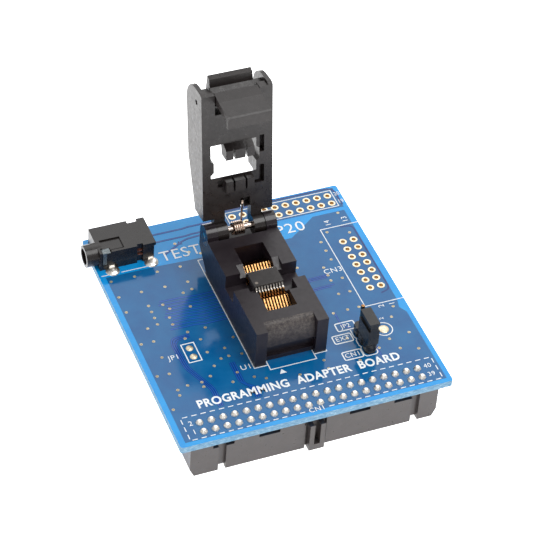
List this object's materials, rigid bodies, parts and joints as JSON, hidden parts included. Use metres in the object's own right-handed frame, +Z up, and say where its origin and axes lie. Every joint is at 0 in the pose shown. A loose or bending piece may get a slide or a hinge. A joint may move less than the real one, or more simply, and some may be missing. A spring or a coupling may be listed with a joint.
{
  "type": "clamshell chip socket adapter board",
  "caption": "Microcontroller programming adapter: board with hinged clamshell chip socket, 3.5 mm jack, shunt header, and a keyed pin receptacle underneath",
  "frame": {"origin": "centre of the receptacle's mating face, on the underside", "axes": "+X right along the receptacle seen from its keyed side, +Y back towards the socket's hinge, +Z up through the board"},
  "size_m": [0.062, 0.0645, 0.0552],
  "materials": {
    "solder_mask": "blue solder mask over glass laminate",
    "satin_plastic": "satin black moulding",
    "socket_plastic": "dark moulded resin",
    "lid_plastic": "dark grey moulded resin",
    "chip_mould": "matt epoxy",
    "jack_plastic": "black moulding",
    "shunt_plastic": "black moulding",
    "gold_plate": "thin gold plating",
    "solder": "tinned, bright",
    "spring_steel": "polished wire"
  },
  "bodies": {
    "base": {"board": "solder_mask", "cn1_housing": "satin_plastic", "cn1_contacts": "gold_plate", "cn1_solder_joints": "solder", "cn2_plated_holes": "gold_plate", "cn3_plated_holes": "gold_plate", "jp1_solder_pads": "solder", "test_pad": "solder", "socket_base": "socket_plastic", "socket_contacts_front": "gold_plate", "socket_contacts_rear": "gold_plate", "socket_solder_joints": "solder", "hinge_pin": "spring_steel", "chip_body": "chip_mould", "chip_leads_front": "solder", "chip_leads_rear": "solder", "jack_housing": "jack_plastic", "jack_ground_contact": "solder", "jack_side_contacts": "gold_plate", "jack_tip_spring": "gold_plate", "jack_ring_contact": "gold_plate", "jack_tabs": "solder", "jack_solder_joints": "solder", "header_insulator": "jack_plastic", "header_pins": "gold_plate", "header_solder_joints": "solder"},
    "lid": {"socket_lid": "lid_plastic", "latch_pin": "spring_steel", "lid_spring": "spring_steel"},
    "hook": {"latch": "lid_plastic", "latch_spring": "spring_steel"},
    "shunt": {"shunt_housing": "shunt_plastic", "shunt_clip": "gold_plate"}
  },
  "joints": [
    {"name": "lid_hinge", "type": "hinge", "parent": "base", "child": "lid", "pos_m": [0, 0.0437, 0.0204], "axis": [1, 0, 0], "range_deg": [0, 98], "stiffness_Nm_per_rad": 0.004, "springref_deg": -45.84, "deforming": ["lid_spring"]},
    {"name": "latch_hinge", "type": "hinge", "parent": "lid", "child": "hook", "pos_m": [0, 0.05161, 0.05079], "axis": [-1, 0, 0], "range_deg": [0, 10], "stiffness_Nm_per_rad": 0.002, "springref_deg": -17.19, "deforming": ["latch_spring"]},
    {"name": "shunt_pull", "type": "slide", "parent": "base", "child": "shunt", "axis": [0, 0, 1], "range_m": [0, 0.0065]}
  ]
}
